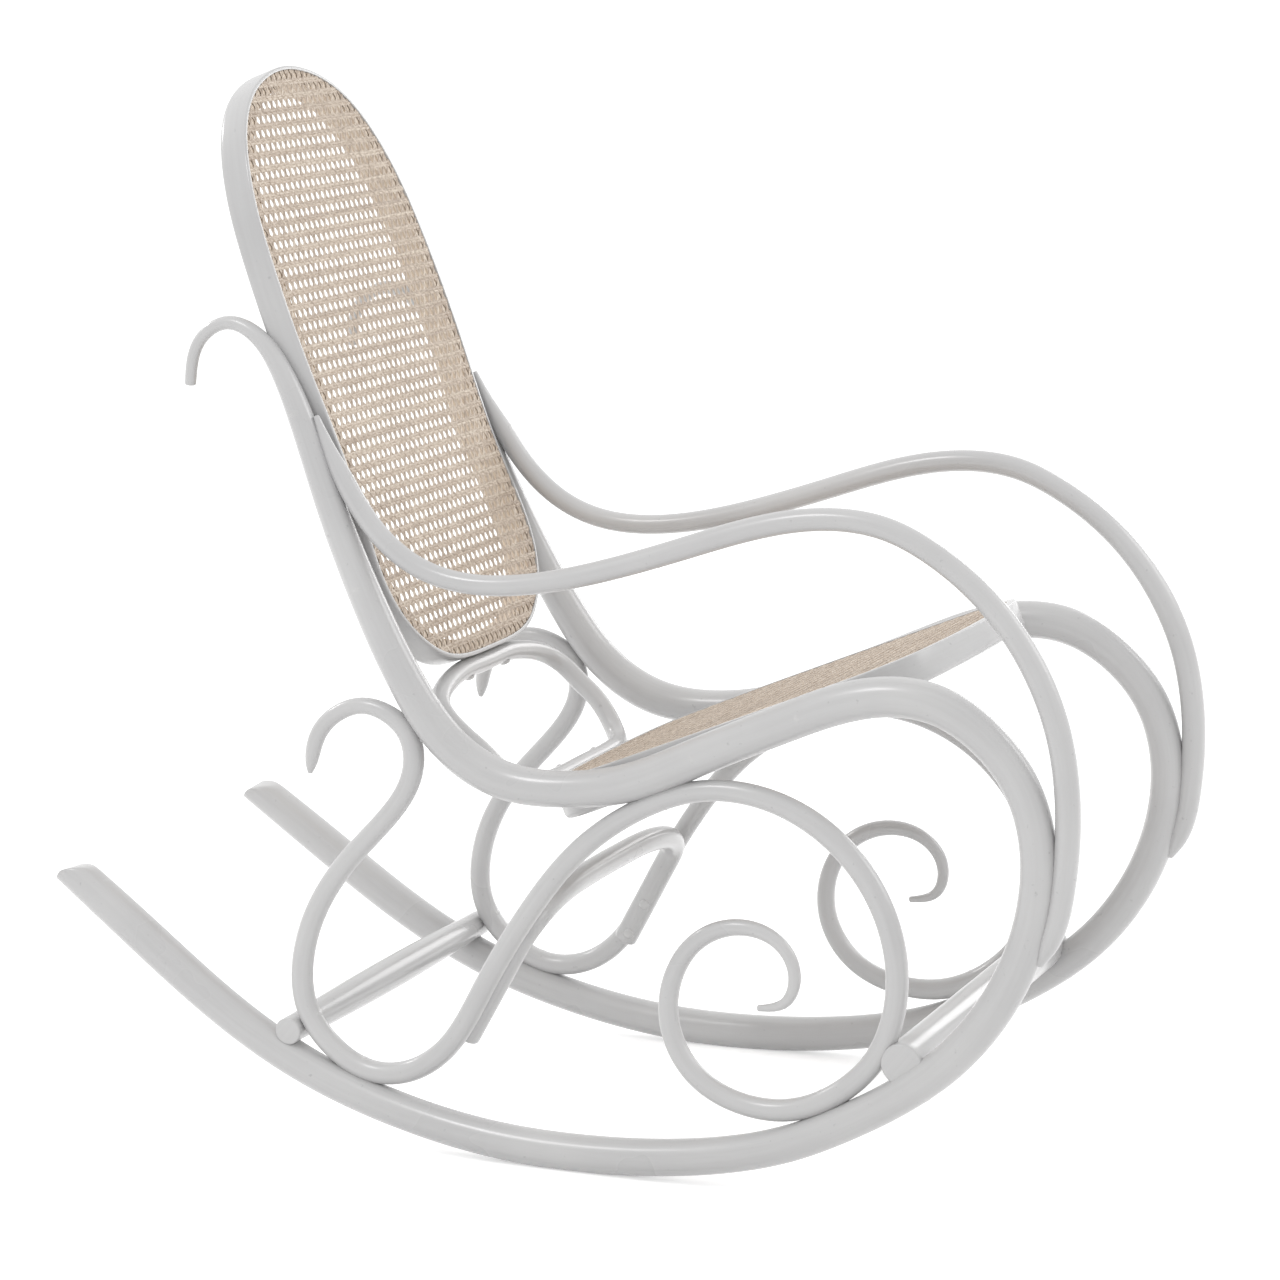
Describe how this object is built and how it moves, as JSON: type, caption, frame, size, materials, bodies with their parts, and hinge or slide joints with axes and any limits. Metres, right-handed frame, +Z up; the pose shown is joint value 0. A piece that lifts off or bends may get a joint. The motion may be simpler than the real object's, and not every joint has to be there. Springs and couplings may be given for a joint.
{
  "type": "rocking chair",
  "caption": "Bentwood rocking chair with cane seat and back in a pale painted frame; long side bows form runners, seat rails and back posts, braced by scrolls, a ring and stretchers.",
  "frame": {"origin": "on the floor, under the middle of the chair's bounding box", "axes": "+X is the way the sitter faces, +Y is to the sitter's left, +Z is up"},
  "size_m": [1.0274, 0.5072, 1.0029],
  "materials": {
    "frame_paint": "satin off-white paint on bent wood",
    "cane": "matte woven natural cane",
    "screw_paint": "satin off-white paint over domed screw heads"
  },
  "bodies": {
    "root": {"main_bow_right": "frame_paint", "main_bow_left": "frame_paint", "scroll_right": "frame_paint", "scroll_left": "frame_paint", "arm_right": "frame_paint", "arm_left": "frame_paint", "back_hoop": "frame_paint", "seat_hoop": "frame_paint", "back_cane": "cane", "seat_cane": "cane", "link_ring": "frame_paint", "under_brace": "frame_paint", "front_stretcher": "frame_paint", "rear_stretcher": "frame_paint", "back_screw_low_right": "screw_paint", "back_screw_low_left": "screw_paint", "back_screw_high_right": "screw_paint", "back_screw_high_left": "screw_paint", "seat_screw_rear_right": "screw_paint", "seat_screw_rear_left": "screw_paint", "seat_screw_front_right": "screw_paint", "seat_screw_front_left": "screw_paint", "arm_screw_top_right": "screw_paint", "arm_screw_top_left": "screw_paint", "arm_screw_foot_right": "screw_paint", "arm_screw_foot_left": "screw_paint", "scroll_screw_hook_right": "screw_paint", "scroll_screw_hook_left": "screw_paint", "scroll_screw_rear_right": "screw_paint", "scroll_screw_rear_left": "screw_paint", "scroll_screw_arch_right": "screw_paint", "scroll_screw_arch_left": "screw_paint", "scroll_screw_circle_right": "screw_paint", "scroll_screw_circle_left": "screw_paint", "rear_stretcher_screw_right": "screw_paint", "rear_stretcher_screw_left": "screw_paint", "front_stretcher_screw_right": "screw_paint", "front_stretcher_screw_left": "screw_paint", "brace_screw_low_right": "screw_paint", "brace_screw_low_left": "screw_paint", "brace_screw_high_right": "screw_paint", "brace_screw_high_left": "screw_paint", "ring_screw_top_right": "screw_paint", "ring_screw_top_left": "screw_paint", "ring_screw_foot_right": "screw_paint", "ring_screw_foot_left": "screw_paint"}
  },
  "joints": []
}
